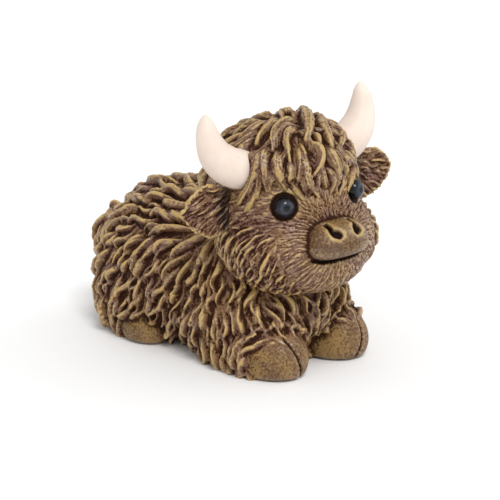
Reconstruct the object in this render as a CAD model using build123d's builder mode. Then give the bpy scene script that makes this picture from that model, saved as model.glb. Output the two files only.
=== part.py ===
from build123d import *
import math
import os

# A lying highland cow ornament, cast in resin as separate pieces that plug into each other and are glued.
# The ground is Z = 0, the muzzle points to -Y and the cow's right flank is on -X.
# Every form is a closed skin of flat facets, laid over soft unions of oval lobes. Where it has hair, the rows of
# its facets run out from a whorl, and every other column rises and steps down like overlapping locks.

# Fits
glue_gap = 0.12

# Torso: barrel, haunches, shoulders and chest, each an oval lobe with its centre and its half sizes
torso_heart = Vector(0, 8.0, 19.0)
torso_stretch = (27.0, 44.0, 26.0)
barrel_centre = Vector(0, 14.0, 20.6)
barrel_half = (26.0, 35.8, 25.8)
neck_centre = Vector(0, -8.0, 26.0)
neck_half = (22.0, 18.0, 24.0)
haunch_centre = Vector(13.0, 27.0, 12.0)
haunch_half = (13.6, 20.2, 17.2)
shoulder_centre = Vector(12.2, -11.5, 12.0)
shoulder_half = (12.9, 18.6, 17.0)
chest_centre = Vector(0, -16.0, 17.0)
chest_half = (15.0, 17.0, 15.0)

# Folded forelegs and hind feet
foreleg_centre = Vector(12.9, -24.1, 5.0)
foreleg_half = (10.9, 15.0, 10.8)
hind_foot_centre = Vector(20.2, 20.5, 5.4)
hind_foot_half = (7.2, 9.6, 8.2)
cleft_lean = 18
cleft_half_width = 0.7
cleft_depth = 1.6

# Coat: locks like shingles that run from a whorl between the shoulders over the back, the flanks and the chest
coat_whorl_tilt = 24
coat_locks = 28
coat_rings = 27
coat_height = 2.0
coat_sway = 2.4
parting_share = -0.5
coat_step_shares = (-0.15, 0.2, 0.5)

# Tail: a tuft down the rump, its path in shares of the barrel
tail_path_shares = ((-0.2, 0.74, 0.39), (-0.31, 0.92, 0.36), (-0.36, 1.01, 0.13), (-0.37, 1.0, -0.14))
tail_half_width = 4.4
tail_half_thickness = 3.6
tail_girth_shares = (0.75, 1.0, 0.95, 0.5)

# Head, in its own frame: the pivot in the neck, turned a little to the right and leaning to that side
head_pivot = Vector(0, -15.0, 45.0)
head_turn = -9.7
head_lean = -3.4
head_heart = Vector(0, -8.0, 0)
head_stretch = (24.0, 24.0, 23.0)
skull_centre = Vector(0, -4.0, 4.0)
skull_half = (22.5, 23.0, 23.0)
cheek_centre = Vector(0, -12.0, -6.6)
cheek_half = (23.4, 20.2, 14.8)
chin_centre = Vector(0, -22.5, -11.0)
chin_half = (11.5, 9.0, 7.5)
cheek_locks = 18
cheek_height = 1.8
muzzle_centre = Vector(0, -26.9, -2.2)
muzzle_half = (9.5, 10.2, 5.3)
muzzle_power = 3
muzzle_narrowing = 0.17
nostril_path_shares = ((0.28, 0.56), (0.38, 0.55), (0.46, 0.62), (0.48, 0.76), (0.42, 0.88))
nostril_girth_shares = ((0, 0.5), (0.12, 1.0), (0.4, 0.95), (0.7, 0.6))
nostril_half_width = 1.15
nostril_depth = 1.6
mouth_half_width = 10.8
mouth_front = 33.5
mouth_corner = 27.0
mouth_middle_drop = 8.2
mouth_corner_drop = 5.6
mouth_half_gap = 0.55
mouth_depth = 1.6

# Glass eyes: a bead on a shank
eye_centre = Vector(12.2, -22.7, 8.0)
eye_radius = 3.1
shank_half_width = 0.9
shank_length = 6.0
lid_gap = 0.15

# Neck dowel, upright in the head's frame
dowel_radius = 4.0
dowel_length = 20.0
dowel_chamfer = 0.6
dowel_point = Vector(0, -3.0, -22.0)

# Crown seat: the tilted flat on which the forelock casting sits
seat_point = Vector(0, -7.0, 9.7)
seat_tilt = 11.3

# Forelock: a cap of hair and two tiers of locks that fall from a whorl on the crown
hair_centre = Vector(0, -7.0, 8.0)
hair_half = (22.0, 20.4, 20.2)
whorl_tilt = 15
lock_half_width = 2.0
lock_half_thickness = 1.7
lock_lift = 0.5
upper_tier_locks = 15
lower_tier_locks = 24
lock_shares = ((0.0, 0.55), (0.22, 0.95), (0.5, 1.0), (0.76, 0.74), (0.92, 0.4))

# Horns: the root inside the hair, then an arc outwards and up to a round tip
horn_root = Vector(11.5, -10.8, 15.0)
horn_spread = 15.9
horn_rise = 19.0
horn_advance = 2.0
horn_base_radius = 6.2
horn_path_shares = ((0, 0), (0.33, 0.1), (0.62, 0.2), (0.85, 0.38), (0.96, 0.58), (1.0, 0.78), (0.995, 0.92), (0.985, 1.0))
horn_girth_shares = (0.7, 0.93, 1.0, 0.94, 0.79, 0.6, 0.4, 0.2)

# Ears: cupped leaves with the root inside the head
ear_root = Vector(13.0, -7.5, 6.5)
ear_reach = 24.8
ear_rise = 1.0
ear_half_height = 8.3
ear_half_thickness = 2.3
ear_cup = 1.3
ear_path_shares = (0, 0.2, 0.34, 0.5, 0.66, 0.8, 0.9, 0.97)
ear_height_shares = (0.38, 0.46, 0.8, 1.0, 0.98, 0.76, 0.5, 0.2)
ear_thickness_shares = (1.0, 1.05, 1.0, 0.9, 0.75, 0.6, 0.5, 0.4)


def mirrored(point, side):
    """The point on the cow's left (side 1) or right (side -1)."""
    return Vector(point.X * side, point.Y, point.Z)


def skin(rings):
    """Closed solid whose flat facets join neighbouring rings of points. A ring of one point is a tip."""
    faces = []
    for low, high in zip(rings, rings[1:]):
        count = max(len(low), len(high))
        for i in range(count):
            j = (i + 1) % count
            if len(low) > 1:
                faces.append(Face(Wire.make_polygon([low[i], low[j], high[j % len(high)]])))
            if len(high) > 1:
                faces.append(Face(Wire.make_polygon([low[i % len(low)], high[j], high[i]])))
    for end in (rings[0], rings[-1]):
        if len(end) > 1:
            faces.append(Face(Wire.make_polygon(end)))
    return Solid(Shell(faces))


def oval(centre, across, up, sides):
    """Ring of points round a centre, between two half axes."""
    turns = [2 * math.pi * i / sides for i in range(sides)]
    return [centre + across * math.cos(turn) + up * math.sin(turn) for turn in turns]


def reach(start, way, lobe):
    """Distance along a unit way to the far side of an oval lobe, or zero where the way misses it."""
    centre, half = lobe
    offset = start - centre
    a = (way.X / half[0]) ** 2 + (way.Y / half[1]) ** 2 + (way.Z / half[2]) ** 2
    b = offset.X * way.X / half[0] ** 2 + offset.Y * way.Y / half[1] ** 2 + offset.Z * way.Z / half[2] ** 2
    c = (offset.X / half[0]) ** 2 + (offset.Y / half[1]) ** 2 + (offset.Z / half[2]) ** 2 - 1
    inside = b * b - a * c
    return max(0, (math.sqrt(inside) - b) / a) if inside > 0 else 0


def union_reach(start, way, lobes, sharpness=14):
    """Distance along a unit way to the skin of the soft union of the lobes."""
    return sum(reach(start, way, lobe) ** sharpness for lobe in lobes) ** (1 / sharpness)


def whorl_way(tilt, polar, azimuth):
    """Unit way at an angle from a whorl, which tilts forwards from the vertical, and at an angle round it."""
    tilt, polar, azimuth = math.radians(tilt), math.radians(polar), math.radians(azimuth)
    whorl = Vector(0, -math.sin(tilt), math.cos(tilt))
    front = Vector(0, -math.cos(tilt), -math.sin(tilt))
    side = Vector(1, 0, 0)
    return whorl * math.cos(polar) + (front * math.cos(azimuth) + side * math.sin(azimuth)) * math.sin(polar)


def form(heart, stretch, far, sides, rings, tilt=90, relief=None, sway=0):
    """Solid skin at the distance that far gives each way from its heart, in columns that run out from a whorl."""
    rows = []
    for k in range(rings + 1):
        row = []
        for i in range(sides if 0 < k < rings else 1):
            way = whorl_way(tilt, 180 * k / rings, 360 * i / sides + sway * math.sin(k + i))
            way = Vector(way.X * stretch[0], way.Y * stretch[1], way.Z * stretch[2]).normalized()
            rise = relief(k, i, way) if relief else 0
            row.append(heart + way * (far(way) + rise))
        rows.append(row)
    return skin(rows)


def egg(centre, half, sides, rings, grow=0):
    """Solid skin over one oval lobe."""
    return form(centre, half, lambda way: reach(centre, way, (centre, half)) + grow, sides, rings)


def shingle(ring, column):
    """Height share of a coat of locks: low in the partings, rising along each lock and dropping past its tip."""
    if column % 2 == 0:
        return parting_share
    return coat_step_shares[(ring + 2 * (column // 2)) % len(coat_step_shares)]


def lock(points, outs, half_width, half_thickness, shares, sides=5):
    """Tapered lock of hair along a path, with its flat side to the body and a pointed tip."""
    rings = []
    last = len(points) - 1
    for share, girth in shares:
        at = share * last
        i = min(int(at), last - 1)
        centre = points[i] + (points[i + 1] - points[i]) * (at - i)
        side = (points[i + 1] - points[i]).cross(outs[i]).normalized()
        rings.append(oval(centre, side * half_width * girth, outs[i] * half_thickness * girth, sides))
    return skin(rings + [[points[-1]]])


def both_sides(lobe):
    """A lobe and its mirror image."""
    centre, half = lobe
    return [(mirrored(centre, side), half) for side in (-1, 1)]


torso_lobes = [(barrel_centre, barrel_half), (neck_centre, neck_half), (chest_centre, chest_half)]
torso_lobes += both_sides((haunch_centre, haunch_half)) + both_sides((shoulder_centre, shoulder_half))
head_lobes = [(skull_centre, skull_half), (cheek_centre, cheek_half), (chin_centre, chin_half)]
hair_lobes = [(hair_centre, hair_half)]

head_plane = Plane(Location(head_pivot) * Location((0, 0, 0), (0, 0, head_turn)) * Location((0, 0, 0), (0, head_lean, 0)))
seat_cut = Plane(Location(seat_point) * Location((0, 0, 0), (-seat_tilt, 0, 0)))
seat_plane = Plane(head_plane.location * seat_cut.location)


def torso_form():
    """The body with its coat in relief."""
    return form(
        torso_heart,
        torso_stretch,
        lambda way: union_reach(torso_heart, way, torso_lobes),
        2 * coat_locks,
        coat_rings,
        coat_whorl_tilt,
        lambda ring, column, way: coat_height * shingle(ring, column),
        coat_sway,
    )


def cheek_relief(ring, column, way):
    """Height of the loose locks round the cheeks and the jaw; the face and the nape stay smooth."""
    share = max(0, math.sin(math.pi * min(1, max(0, (way.Y + 0.75) / 1.15)))) * min(1, max(0, 0.4 - 2 * way.Z))
    return cheek_height * share * shingle(ring, column)


def head_form(grow=0):
    """The head without its muzzle, grown by a gap where it is the shape of its seat."""
    return form(
        head_heart,
        head_stretch,
        lambda way: union_reach(head_heart, way, head_lobes) + grow,
        2 * cheek_locks,
        18,
        relief=cheek_relief,
    )


def muzzle_reach(way):
    """Distance from the muzzle's centre to its skin: a rounded block that narrows towards the top."""
    high = way.Z / muzzle_half[2]
    deep = abs(way.Y / muzzle_half[1])
    distance = muzzle_half[2]
    for _ in range(30):
        wide = abs(way.X / muzzle_half[0] / (1 - muzzle_narrowing * distance * high))
        distance = (wide**muzzle_power + deep**muzzle_power + abs(high) ** muzzle_power) ** (-1 / muzzle_power)
    return distance


def horn(side, grow=0):
    """A horn on one side, grown by a gap where it is the shape of its socket."""
    centres = [
        mirrored(horn_root + Vector(out * horn_spread, up * horn_advance, up * horn_rise), side)
        for out, up in horn_path_shares
    ]
    rings = []
    for i, (centre, girth) in enumerate(zip(centres, horn_girth_shares)):
        run = (centres[min(i + 1, len(centres) - 1)] - centres[max(i - 1, 0)]).normalized()
        level = run.cross(Vector(0, 1, 0)).normalized()
        radius = horn_base_radius * girth + grow
        rings.append(oval(centre, level * radius, level.cross(run) * radius, 16))
    return skin(rings)


def ear(side, grow=0):
    """An ear on one side: a leaf whose front is cupped, grown by a gap where it is the shape of its socket."""
    rings = []
    for out, tall, thick in zip(ear_path_shares, ear_height_shares, ear_thickness_shares):
        centre = mirrored(ear_root + Vector(out * ear_reach, 0, out * ear_rise), side)
        height = ear_half_height * tall + grow
        thickness = ear_half_thickness * thick + grow
        ring = []
        for i in range(14):
            turn = 2 * math.pi * i / 14
            bow = ear_cup * math.cos(turn) ** 2 * (1 if out > 0 else 0)
            ring.append(centre + Vector(0, thickness * math.sin(turn) - bow, height * math.cos(turn)))
        rings.append(ring)
    tip = mirrored(ear_root + Vector(ear_reach, -ear_cup, ear_rise), side)
    return skin(rings + [[tip]])


def bead(side, grow=0):
    """A glass bead on one side of the face."""
    centre = mirrored(eye_centre, side)
    return egg(centre, (eye_radius, eye_radius, eye_radius), 20, 10, grow)


def shank(side, grow=0):
    """The square shank behind a bead."""
    centre = mirrored(eye_centre, side)
    half = shank_half_width + grow
    square = [Vector(x * half, 0, z * half) for x, z in ((-1, -1), (1, -1), (1, 1), (-1, 1))]
    return skin([[centre + p for p in square], [centre + p + Vector(0, shank_length + grow, 0) for p in square]])


def tail_shape(grow=0):
    """The tail tuft, grown by a gap where it is the shape of its seat."""
    points = [barrel_centre + Vector(*(a * b for a, b in zip(shares, barrel_half))) for shares in tail_path_shares]
    rings = []
    for i, (point, girth) in enumerate(zip(points, tail_girth_shares)):
        run = (points[min(i + 1, 3)] - points[max(i - 1, 0)]).normalized()
        side = Vector(1, 0, 0)
        rings.append(
            oval(point, side * (tail_half_width * girth + grow), run.cross(side) * (tail_half_thickness * girth + grow), 12)
        )
    return skin(rings)


def cleft(side):
    """The groove that parts the two toes of a fore hoof, to be cut from it."""
    centre = mirrored(foreleg_centre, side)
    rings = []
    for step in range(-3, 6):
        rise = math.radians(12 * step)
        lean = math.radians(side * cleft_lean * math.sin(rise))
        way = Vector(math.sin(lean), -math.cos(rise), math.sin(rise)).normalized()
        point = centre + way * reach(centre, way, (centre, foreleg_half))
        across = Vector(cleft_half_width, 0, 0)
        rings.append(oval(point, way * cleft_depth, across, 6))
    return skin(rings)


def mouth():
    """The groove of the closed mouth under the muzzle, to be cut from the head."""
    rings = []
    for step in range(-5, 6):
        turn = math.radians(17 * step)
        bow = math.cos(turn)
        point = Vector(
            mouth_half_width * math.sin(turn),
            -(mouth_corner + (mouth_front - mouth_corner) * bow),
            -(mouth_corner_drop + (mouth_middle_drop - mouth_corner_drop) * bow),
        )
        out = Vector(math.sin(turn / 2), -math.cos(turn / 2), 0)
        rings.append(oval(point, out * mouth_depth, Vector(0, 0, mouth_half_gap), 6))
    return skin(rings)


def nostril(side):
    """The hollow of a nostril: a comma, round at the inner end and thin at the outer top."""
    points, outs = [], []
    for across, up in nostril_path_shares:
        x, z = side * across * muzzle_half[0], up * muzzle_half[2]
        way = Vector(x, -muzzle_half[1], z).normalized()
        for _ in range(30):
            way = Vector(x, muzzle_reach(way) * way.Y, z).normalized()
        points.append(muzzle_centre + way * muzzle_reach(way))
        outs.append(way)
    return lock(points, outs, nostril_half_width, nostril_depth, nostril_girth_shares)


def hair_reach(way):
    """Distance from the hair's centre to its skin, which blends into the head all round."""
    return union_reach(hair_centre, way, hair_lobes + head_lobes)


def crown_lock(azimuth, start, end, sway, girth):
    """A lock that falls over the crown from one angle off the whorl to another, swinging as it goes."""
    steps = 7
    points, outs = [], []
    for step in range(steps):
        share = step / (steps - 1)
        way = whorl_way(whorl_tilt, start + (end - start) * share, azimuth + sway * math.sin(math.pi * 1.4 * share))
        points.append(hair_centre + way * (hair_reach(way) + lock_lift))
        outs.append(way)
    return lock(points, outs, lock_half_width * girth, lock_half_thickness * girth, lock_shares)


def forelock_locks():
    """Two tiers of locks: a long lower one down to the eyes and the nape, a short upper one round the whorl."""
    locks = []
    for i in range(lower_tier_locks):
        azimuth = 360 * (i + 0.5) / lower_tier_locks - 180
        front = math.cos(math.radians(azimuth))
        behind = max(0, -front)
        end = 66 + 4 * (i % 3) + 22 * behind
        locks.append(crown_lock(azimuth, 30 + 10 * behind, end, 7 * (-1) ** i, 1 + 0.25 * behind))
    for i in range(upper_tier_locks):
        azimuth = 360 * i / upper_tier_locks
        locks.append(crown_lock(azimuth, 4 + 3 * (i % 2), 42 + 6 * (i % 3), 9 * (-1) ** i, 0.95))
    return locks


os.makedirs("parts", exist_ok=True)

with BuildPart() as torso:
    add(
        [torso_form()]
        + [egg(mirrored(foreleg_centre, side), foreleg_half, 26, 13) for side in (-1, 1)]
        + [egg(mirrored(hind_foot_centre, side), hind_foot_half, 20, 10) for side in (-1, 1)]
    )
    split(bisect_by=Plane.XY, keep=Keep.TOP)
    add([cleft(-1), cleft(1), tail_shape(glue_gap)], mode=Mode.SUBTRACT)
    with Locations(head_plane):
        add(head_form(glue_gap), mode=Mode.SUBTRACT)
        with Locations(dowel_point):
            Cylinder(dowel_radius + glue_gap, dowel_length + 2 * glue_gap, mode=Mode.SUBTRACT)
torso.part.label = "torso"
export_step(torso.part, "parts/torso.step")

with BuildPart() as tail:
    add(tail_shape())
tail.part.label = "tail"
export_step(tail.part, "parts/tail.step")

with BuildPart(head_plane) as neck_dowel:
    with Locations(dowel_point):
        Cylinder(dowel_radius, dowel_length)
    chamfer(neck_dowel.edges().filter_by(GeomType.CIRCLE), dowel_chamfer)
neck_dowel.part.label = "neck_dowel"
export_step(neck_dowel.part, "parts/neck_dowel.step")

with BuildPart(head_plane) as head:
    add([head_form(), form(muzzle_centre, muzzle_half, muzzle_reach, 28, 14)])
    split(bisect_by=seat_plane, keep=Keep.BOTTOM)
    sockets = [mouth()]
    for side in (-1, 1):
        sockets += [bead(side, lid_gap), shank(side, glue_gap), ear(side, glue_gap), nostril(side)]
    add(sockets, mode=Mode.SUBTRACT)
    with Locations(dowel_point):
        Cylinder(dowel_radius + glue_gap, dowel_length + 2 * glue_gap, mode=Mode.SUBTRACT)
head.part.label = "head"
export_step(head.part, "parts/head.step")

with BuildPart() as covered_head:
    add(head_form(glue_gap))
    split(bisect_by=seat_cut.offset(glue_gap), keep=Keep.BOTTOM)

with BuildPart(head_plane) as forelock:
    add(form(hair_centre, hair_half, hair_reach, 32, 16))
    split(bisect_by=seat_plane.offset(glue_gap), keep=Keep.TOP)
    add(forelock_locks())
    passages = [covered_head.solid()]
    for side in (-1, 1):
        passages += [horn(side, glue_gap), ear(side, glue_gap), bead(side, lid_gap)]
    add(passages, mode=Mode.SUBTRACT)
forelock.part.label = "forelock"
export_step(forelock.part, "parts/forelock.step")

for side, name in ((-1, "right"), (1, "left")):
    with BuildPart(head_plane) as horn_part:
        add(horn(side))
    horn_part.part.label = f"horn_{name}"
    export_step(horn_part.part, f"parts/horn_{name}.step")

    with BuildPart(head_plane) as ear_part:
        add(ear(side))
        add(horn(side, glue_gap), mode=Mode.SUBTRACT)
    ear_part.part.label = f"ear_{name}"
    export_step(ear_part.part, f"parts/ear_{name}.step")

    with BuildPart(head_plane) as eye_part:
        add([bead(side), shank(side)])
    eye_part.part.label = f"eye_{name}"
    export_step(eye_part.part, f"parts/eye_{name}.step")
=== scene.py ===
import math
import random

import bmesh
import bpy
import numpy as np
from mathutils import Matrix, Quaternion, Vector
from mathutils.bvhtree import BVHTree
from mathutils.kdtree import KDTree


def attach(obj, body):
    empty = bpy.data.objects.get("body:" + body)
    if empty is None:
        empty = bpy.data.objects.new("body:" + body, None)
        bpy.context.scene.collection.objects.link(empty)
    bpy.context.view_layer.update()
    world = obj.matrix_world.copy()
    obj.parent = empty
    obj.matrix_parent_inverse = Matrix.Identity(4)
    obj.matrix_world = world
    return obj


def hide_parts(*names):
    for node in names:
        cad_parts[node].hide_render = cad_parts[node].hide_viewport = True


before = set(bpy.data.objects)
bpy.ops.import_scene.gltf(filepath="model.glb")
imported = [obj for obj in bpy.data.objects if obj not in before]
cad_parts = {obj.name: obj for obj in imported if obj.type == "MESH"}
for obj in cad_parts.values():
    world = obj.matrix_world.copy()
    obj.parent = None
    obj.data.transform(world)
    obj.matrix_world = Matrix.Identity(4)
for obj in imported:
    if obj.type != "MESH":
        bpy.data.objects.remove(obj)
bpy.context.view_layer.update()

# Torso
# One resin casting on a flat base: barrel, haunches, shoulders and folded legs under a coat of shingled
# locks. Only the hooves stay bare. The soft forms are modelled first, then each lock is laid on them and
# cast with them.
MM = 0.001
floor_cut = 0.3
torso_heart = (0, 8.0, 19.0)
torso_stretch = (27.0, 44.0, 26.0)
torso_lobes = [
    ((0, 14.0, 20.6), (25.6, 35.4, 25.4)),
    ((0, -8.0, 26.0), (21.6, 17.6, 23.6)),
    ((0, -16.0, 17.0), (14.6, 16.6, 14.6)),
    ((0, 25.0, 23.0), (20.5, 21.5, 20.5)),
]
for flank in (-1, 1):
    torso_lobes.append(((flank * 13.0, 27.0, 12.0), (12.7, 19.2, 16.8)))
    torso_lobes.append(((flank * 12.2, -11.5, 12.0), (12.5, 18.2, 16.6)))
foreleg_centre = (12.9, -24.1, 5.0)
foreleg_half = (10.7, 14.9, 10.6)
hind_foot_centre = (20.2, 20.5, 5.4)
hind_foot_half = (7.2, 9.6, 8.2)
coat_seed = 7
coat_across = 2.1
coat_along = 5.6
coat_lengths = (8.5, 13.5)
coat_girths = (1.4, 2.7)
coat_lift = (-0.5, -0.1, 0.2, 0.4, 0.25)
stray_share = 0.4
stray_lift = (-0.5, 0.6, 1.3, 1.4, 0.5)
lock_taper = ((0, 0.2, 0.5, 0.75, 0.92, 1), (0.55, 0.9, 1.0, 0.8, 0.42, 0.12))
strand_stretch = 0.22
strand_shift = 3.7
cleft_depth = 0.9


def reach(start, ways, lobe):
    """Distances along unit ways to the far side of an oval lobe, or zero where a way misses it."""
    centre, half = np.array(lobe[0]), np.array(lobe[1])
    offset = (np.array(start) - centre) / half
    scaled = ways / half
    a = (scaled**2).sum(-1)
    b = (scaled * offset).sum(-1)
    inside = b * b - a * ((offset**2).sum() - 1)
    return np.where(inside > 0, np.maximum(0, (np.sqrt(np.maximum(inside, 0)) - b) / a), 0)


def soft_reach(start, ways, lobes, sharpness=14):
    """Distance along each way to the soft union of the lobes."""
    total = sum(reach(start, ways, lobe) ** sharpness for lobe in lobes)
    return total ** (1 / sharpness)


def star_skin(heart, stretch, far_of, sides, rings, floor=None):
    """Points and faces of a closed skin seen whole from its heart, with poles on Y, cut flat at a floor."""
    polar = np.linspace(0, math.pi, rings + 1)[1:-1]
    turn = np.arange(sides) * 2 * math.pi / sides
    polar, turn = np.meshgrid(polar, turn, indexing="ij")
    ways = np.stack([np.sin(polar) * np.cos(turn), -np.cos(polar), np.sin(polar) * np.sin(turn)], -1)
    ways = np.vstack([ways.reshape(-1, 3), [(0, -1, 0), (0, 1, 0)]]) * stretch
    ways /= np.linalg.norm(ways, axis=1)[:, None]
    far = far_of(ways)
    if floor is not None:
        down = ways[:, 2] < -1e-6
        far[down] = np.minimum(far[down], (floor - heart[2]) / ways[down, 2])
    points = np.array(heart) + ways * far[:, None]
    faces = []
    for k in range(rings - 2):
        for i in range(sides):
            j = (i + 1) % sides
            faces.append((k * sides + i, k * sides + j, (k + 1) * sides + j, (k + 1) * sides + i))
    front, rear = len(points) - 2, len(points) - 1
    for i in range(sides):
        j = (i + 1) % sides
        faces.append((front, j, i))
        faces.append((rear, (rings - 2) * sides + i, (rings - 2) * sides + j))
    return points, faces


def soft_form(heart, stretch, lobes, sides, rings, floor=None):
    """Skin over the soft union of the lobes."""
    return star_skin(heart, stretch, lambda ways: soft_reach(heart, ways, lobes), sides, rings, floor)


def in_scene(name, data):
    """A new object in the scene."""
    thing = bpy.data.objects.new(name, data)
    bpy.context.scene.collection.objects.link(thing)
    return thing


def new_piece(name, forms, place=Matrix.Identity(4)):
    """One object that holds several closed skins, given in millimetres in their own frame."""
    points, faces = [], []
    for form_points, form_faces in forms:
        start = len(points)
        points += [place @ Vector(p) * MM for p in form_points]
        faces += [tuple(start + i for i in face) for face in form_faces]
    mesh = bpy.data.meshes.new(name)
    mesh.from_pydata(points, [], faces)
    shape = bmesh.new()
    shape.from_mesh(mesh)
    bmesh.ops.recalc_face_normals(shape, faces=shape.faces)
    shape.to_mesh(mesh)
    shape.free()
    return in_scene(name, mesh)


def settle(piece):
    """Makes a piece's evaluated shape its plain mesh and takes the modifiers off."""
    graph = bpy.context.evaluated_depsgraph_get()
    mesh = bpy.data.meshes.new_from_object(piece.evaluated_get(graph))
    piece.modifiers.clear()
    old, piece.data = piece.data, mesh
    bpy.data.meshes.remove(old)


def cast(piece, grain, soften):
    """Turns all the skins of a piece into one closed skin with faces of one size, then softens it."""
    skin = piece.modifiers.new("skin", "REMESH")
    skin.mode = "VOXEL"
    skin.voxel_size = grain * MM
    smooth = piece.modifiers.new("smooth", "SMOOTH")
    smooth.factor = 0.5
    smooth.iterations = soften
    settle(piece)


def surface_of(piece):
    """Search tree of a piece's skin, in metres."""
    mesh = piece.data
    return BVHTree.FromPolygons([v.co for v in mesh.vertices], [p.vertices for p in mesh.polygons])


def column(mesh, name):
    """Vertex coordinates or normals of a mesh as an array in millimetres or as unit vectors."""
    source = mesh.vertices if name == "co" else mesh.vertex_normals
    flat = np.empty(len(mesh.vertices) * 3, np.float32)
    source.foreach_get("co" if name == "co" else "vector", flat)
    return flat.reshape(-1, 3) / (MM if name == "co" else 1)


def put_back(mesh, points):
    """Writes moved vertex coordinates, in millimetres, back into a mesh."""
    mesh.vertices.foreach_set("co", (points * MM).astype(np.float32).ravel())
    mesh.update()


def store(mesh, name, values):
    """Stores a number or a vector for each vertex of a mesh under a name."""
    values = np.asarray(values, np.float32)
    kind, key = ("FLOAT_VECTOR", "vector") if values.ndim == 2 else ("FLOAT", "value")
    mesh.attributes.new(name, kind, "POINT").data.foreach_set(key, values.ravel())


def ease(low, high, value):
    """Smooth step from 0 at low to 1 at high."""
    share = min(1.0, max(0.0, (value - low) / (high - low)))
    return share * share * (3 - 2 * share)


def combed(way, point, out):
    """Unit way in which the hair is combed at a place of a skin that faces out."""
    run = way(point, out)
    return (run - out * run.dot(out)).normalized()


def laid_lock(skin, root, way, length, girth, sway, lift, steps=9, waves=0.9):
    """A lock combed over a skin from a root: points, outs and half widths. Its lift is in half widths."""
    place, out = skin.find_nearest(root * MM)[:2]
    points = []
    phase = sway * 1.7
    for step in range(steps + 1):
        share = step / steps
        height = np.interp(share, np.linspace(0, 1, len(lift)), lift) * girth
        width = girth * np.interp(share, *lock_taper)
        points.append((place / MM + out * height, out.copy(), width))
        run = combed(way, place / MM, out)
        run.rotate(Quaternion(out, sway * math.sin(2 * math.pi * share * waves + phase)))
        place, out_next = skin.find_nearest(place + run * (length / steps) * MM)[:2]
        out = (out * 0.5 + out_next * 0.5).normalized()
    return points


def lock_paths(name, locks):
    """An object of poly lines for the lock tree; each point carries its half width and its way out."""
    points, edges, girths, outs = [], [], [], []
    for lock in locks:
        start = len(points)
        for point, out, girth in lock:
            points.append(Vector(point) * MM)
            outs.append(out)
            girths.append(girth * MM)
        edges += [(i, i + 1) for i in range(start, len(points) - 1)]
    mesh = bpy.data.meshes.new(name)
    mesh.from_pydata(points, edges, [])
    store(mesh, "girth", girths)
    store(mesh, "out", outs)
    return in_scene(name, mesh)


def add(tree, kind, inputs=None, **settings):
    """A new node in a tree, with its settings and the values of its inputs."""
    node = tree.nodes.new(kind)
    for key, value in settings.items():
        setattr(node, key, value)
    for key, value in (inputs or {}).items():
        node.inputs[key].default_value = value
    return node


def wire(start, out, end, into):
    """Joins an output of one node to an input of another."""
    start.id_data.links.new(start.outputs[out], end.inputs[into])


def new_tree(name, inputs, result):
    """A Geometry Nodes tree with named inputs and one result: the tree, its input and its output node."""
    tree = bpy.data.node_groups.new(name, "GeometryNodeTree")
    for label, value in inputs.items():
        kind = {float: "Float", int: "Int"}.get(type(value), value)
        socket = tree.interface.new_socket(label, in_out="INPUT", socket_type=f"NodeSocket{kind}")
        if kind != value:
            socket.default_value = value
    tree.interface.new_socket(result, in_out="OUTPUT", socket_type="NodeSocketGeometry")
    return tree, add(tree, "NodeGroupInput"), add(tree, "NodeGroupOutput")


def lock_tree():
    """Node tree that turns paths into closed tapered locks, oval across, that waver with a fixed seed."""
    tree, given, made = new_tree("hair_locks", {
        "Paths": "Geometry", "Flatness": 0.6, "Step": 0.7 * MM, "Waver": 0.25 * MM,
        "Waver scale": 350.0, "Seed": 1.0, "Sides": 10, "Material": "Material",
    }, "Locks")
    curve = add(tree, "GeometryNodeMeshToCurve")
    smooth = add(tree, "GeometryNodeCurveSplineType", spline_type="CATMULL_ROM")
    steps = add(tree, "GeometryNodeResampleCurve", mode="LENGTH")
    wire(given, "Paths", curve, "Mesh")
    wire(curve, "Curve", smooth, "Curve")
    wire(smooth, "Curve", steps, "Curve")
    wire(given, "Step", steps, "Length")
    out = add(tree, "GeometryNodeInputNamedAttribute", {"Name": "out"}, data_type="FLOAT_VECTOR")
    facing = add(tree, "GeometryNodeSetCurveNormal", mode="FREE")
    wire(steps, "Curve", facing, "Curve")
    wire(out, "Attribute", facing, "Normal")
    circle = add(tree, "GeometryNodeCurvePrimitiveCircle", {"Radius": 1.0})
    across = add(tree, "ShaderNodeCombineXYZ", {"X": 1.0, "Z": 1.0})
    oval = add(tree, "GeometryNodeTransform")
    wire(given, "Sides", circle, "Resolution")
    wire(given, "Flatness", across, "Y")
    wire(circle, "Curve", oval, "Geometry")
    wire(across, "Vector", oval, "Scale")
    girth = add(tree, "GeometryNodeInputNamedAttribute", {"Name": "girth"})
    body = add(tree, "GeometryNodeCurveToMesh", {"Fill Caps": True})
    wire(facing, "Curve", body, "Curve")
    wire(girth, "Attribute", body, "Scale")
    wire(oval, "Geometry", body, "Profile Curve")
    waver = add(tree, "ShaderNodeTexNoise", noise_dimensions="4D")
    centred = add(tree, "ShaderNodeVectorMath", {1: (0.5, 0.5, 0.5)}, operation="SUBTRACT")
    offset = add(tree, "ShaderNodeVectorMath", operation="SCALE")
    moved = add(tree, "GeometryNodeSetPosition")
    wire(given, "Waver scale", waver, "Scale")
    wire(given, "Seed", waver, "W")
    wire(waver, "Color", centred, 0)
    wire(centred, "Vector", offset, 0)
    wire(given, "Waver", offset, "Scale")
    wire(body, "Mesh", moved, "Geometry")
    wire(offset, "Vector", moved, "Offset")
    real = add(tree, "GeometryNodeRealizeInstances")
    painted = add(tree, "GeometryNodeSetMaterial")
    wire(moved, "Geometry", real, "Geometry")
    wire(real, "Geometry", painted, "Geometry")
    wire(given, "Material", painted, "Material")
    wire(painted, "Geometry", made, "Locks")
    return tree


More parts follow.
